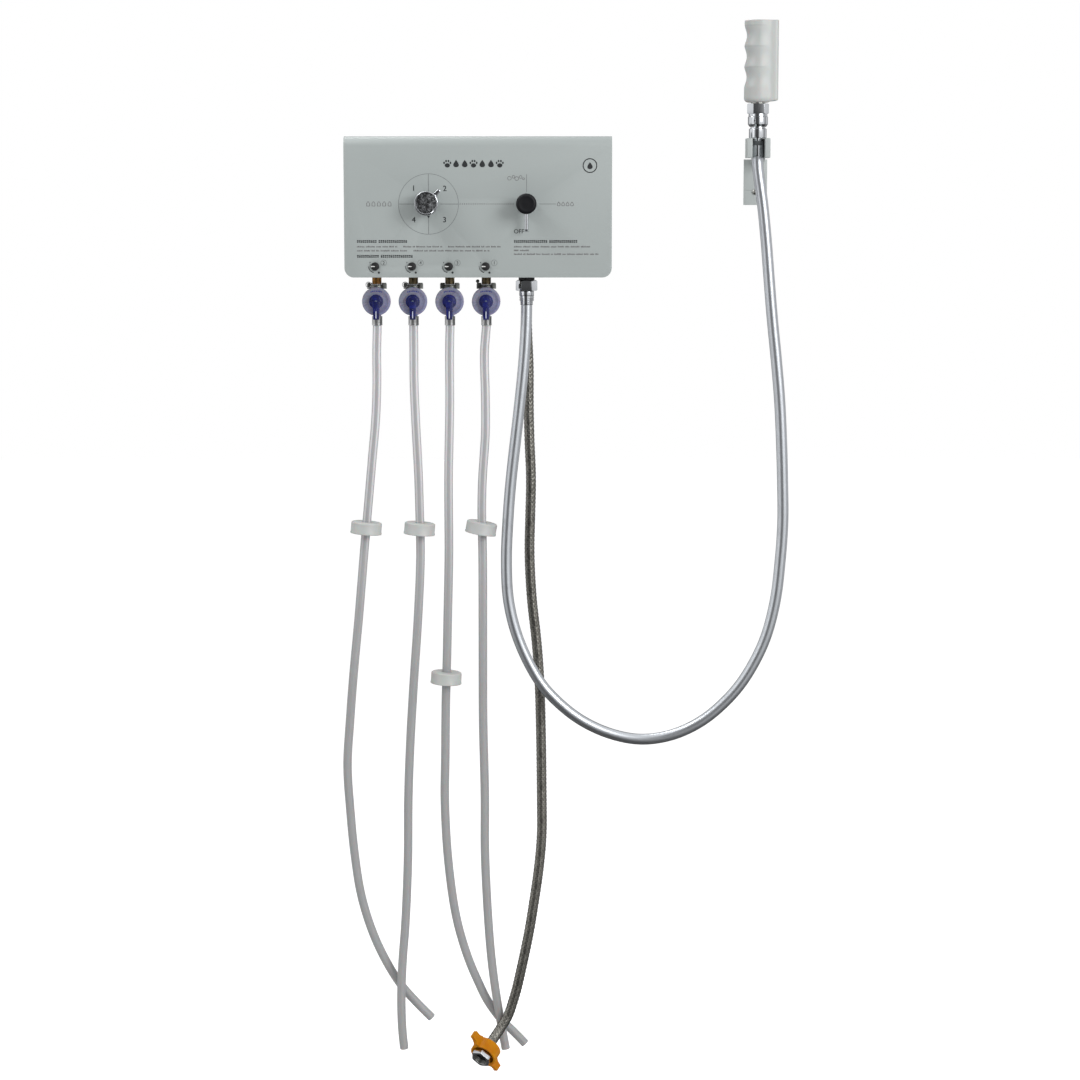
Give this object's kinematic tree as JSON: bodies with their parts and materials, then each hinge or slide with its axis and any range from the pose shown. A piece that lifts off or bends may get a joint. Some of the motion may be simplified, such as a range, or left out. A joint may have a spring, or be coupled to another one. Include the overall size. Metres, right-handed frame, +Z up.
{
  "type": "pet bath sprayer set",
  "caption": "Wall-hung pet bath unit: control panel with product selector, tap, dilution screws, product lines, supply hose, and a handheld sprayer in a wall holder.",
  "frame": {"origin": "centre of the panel's four wall screws, on the wall", "axes": "+X along the wall to the right, +Y into the wall, +Z up"},
  "size_m": [0.5819, 0.1085, 1.369],
  "materials": {
    "cover": "satin",
    "chassis": "satin",
    "fixings": "satin",
    "valve_brass": "satin",
    "copper": "satin",
    "chrome": "polished",
    "black_gloss": "gloss",
    "black_matte": "matte",
    "clear_tube": "satin",
    "clear_valve": "gloss",
    "lever_blue": "gloss",
    "collar_grey": "satin",
    "cap_white": "satin",
    "steel_braid": "woven",
    "amber": "gloss",
    "rubber_black": "matte",
    "hose_silver": "metallic gloss",
    "grip": "satin",
    "water_way": "polished",
    "spray_face": "satin",
    "holder": "satin"
  },
  "bodies": {
    "wall_unit": {"front_cover": "cover", "wall_chassis": "chassis", "valve_rail": "chassis", "cover_fixings": "fixings", "tube_clamps": "fixings", "panel_nuts": "fixings", "selector_body": "valve_brass", "tap_body": "valve_brass", "injector": "valve_brass", "needle_valves": "valve_brass", "rail_nuts": "valve_brass", "feed_pipe": "copper", "outlet_pipe": "copper", "supply_coupling": "chrome", "supply_tail": "chrome", "hose_nut": "chrome", "hose_ferrule": "chrome", "outlet_collar": "black_gloss", "link_tubes": "clear_tube", "suction_line": "clear_tube", "inner_product_lines": "clear_tube", "product_tube_1": "clear_tube", "product_tube_2": "clear_tube", "product_tube_3": "clear_tube", "product_tube_4": "clear_tube", "shutoff_valve_1": "clear_valve", "shutoff_valve_2": "clear_valve", "shutoff_valve_3": "clear_valve", "shutoff_valve_4": "clear_valve", "tube_collars": "collar_grey", "supply_hose": "steel_braid", "supply_washer": "rubber_black", "spray_hose": "hose_silver", "holder": "holder"},
    "selector": {"selector_spindle": "chrome", "selector_knob": "chrome"},
    "tap": {"tap_spindle": "chrome", "tap_knob": "black_gloss", "tap_rod": "chrome"},
    "dilution_1": {"dilution_screw_1": "black_matte"},
    "dilution_2": {"dilution_screw_2": "black_matte"},
    "dilution_3": {"dilution_screw_3": "black_matte"},
    "dilution_4": {"dilution_screw_4": "black_matte"},
    "lever_1": {"shutoff_lever_1": "lever_blue"},
    "lever_2": {"shutoff_lever_2": "lever_blue"},
    "lever_3": {"shutoff_lever_3": "lever_blue"},
    "lever_4": {"shutoff_lever_4": "lever_blue"},
    "cap_1": {"bottle_cap_1": "cap_white"},
    "cap_2": {"bottle_cap_2": "cap_white"},
    "cap_3": {"bottle_cap_3": "cap_white"},
    "cap_4": {"bottle_cap_4": "cap_white"},
    "winged_nut": {"supply_nut": "chrome", "wing_collar": "amber"},
    "hose_coupling": {"hose_end": "chrome", "coupling_barrel": "chrome"},
    "sprayer": {"swivel_ring": "chrome", "sprayer_nut": "chrome", "sprayer_grip": "grip", "water_tube": "water_way", "spray_plate": "spray_face"}
  },
  "joints": [
    {"name": "selector_turn", "type": "hinge", "parent": "wall_unit", "child": "selector", "pos_m": [-0.0645, -0.09, 0.0045], "axis": [0, 1, 0], "range_deg": [-90, 180]},
    {"name": "tap_turn", "type": "hinge", "parent": "wall_unit", "child": "tap", "pos_m": [0.0615, -0.09, 0.004], "axis": [0, -1, 0], "range_deg": [0, 180]},
    {"name": "dilution_turn_1", "type": "hinge", "parent": "wall_unit", "child": "dilution_1", "pos_m": [0.0097, -0.076, -0.075], "axis": [0, -1, 0], "range_deg": [0, 90]},
    {"name": "dilution_turn_2", "type": "hinge", "parent": "wall_unit", "child": "dilution_2", "pos_m": [-0.131, -0.076, -0.075], "axis": [0, -1, 0], "range_deg": [0, 90]},
    {"name": "dilution_turn_3", "type": "hinge", "parent": "wall_unit", "child": "dilution_3", "pos_m": [-0.0372, -0.076, -0.075], "axis": [0, -1, 0], "range_deg": [0, 90]},
    {"name": "dilution_turn_4", "type": "hinge", "parent": "wall_unit", "child": "dilution_4", "pos_m": [-0.0841, -0.076, -0.075], "axis": [0, -1, 0], "range_deg": [0, 90]},
    {"name": "lever_turn_1", "type": "hinge", "parent": "wall_unit", "child": "lever_1", "pos_m": [0.0097, -0.058, -0.12], "axis": [0, -1, 0], "range_deg": [0, 90]},
    {"name": "lever_turn_2", "type": "hinge", "parent": "wall_unit", "child": "lever_2", "pos_m": [-0.131, -0.058, -0.12], "axis": [0, -1, 0], "range_deg": [0, 90]},
    {"name": "lever_turn_3", "type": "hinge", "parent": "wall_unit", "child": "lever_3", "pos_m": [-0.0372, -0.058, -0.12], "axis": [0, -1, 0], "range_deg": [0, 90]},
    {"name": "lever_turn_4", "type": "hinge", "parent": "wall_unit", "child": "lever_4", "pos_m": [-0.0841, -0.058, -0.12], "axis": [0, -1, 0], "range_deg": [0, 90]},
    {"name": "cap_slide_1", "type": "slide", "parent": "wall_unit", "child": "cap_1", "axis": [-0.0167, 0, 0.9999], "range_m": [-0.015, 0.015]},
    {"name": "cap_slide_2", "type": "slide", "parent": "wall_unit", "child": "cap_2", "axis": [0.0942, 0, 0.9956], "range_m": [-0.015, 0.015]},
    {"name": "cap_slide_3", "type": "slide", "parent": "wall_unit", "child": "cap_3", "axis": [0.0286, 0, 0.9996], "range_m": [-0.015, 0.015]},
    {"name": "cap_slide_4", "type": "slide", "parent": "wall_unit", "child": "cap_4", "axis": [-0.0154, 0, 0.9999], "range_m": [-0.015, 0.015]},
    {"name": "winged_nut_spin", "type": "hinge", "parent": "wall_unit", "child": "winged_nut", "pos_m": [0.007, -0.084, -1.105], "axis": [-0.4474, -0.7314, -0.5147], "continuous": true},
    {"name": "coupling_lift_out", "type": "slide", "parent": "wall_unit", "child": "hose_coupling", "axis": [0, -1, 0], "range_m": [0, 0.03]},
    {"name": "sprayer_swivel", "type": "hinge", "parent": "hose_coupling", "child": "sprayer", "pos_m": [0.356, -0.05, 0.11], "axis": [0, 0, 1], "continuous": true}
  ]
}
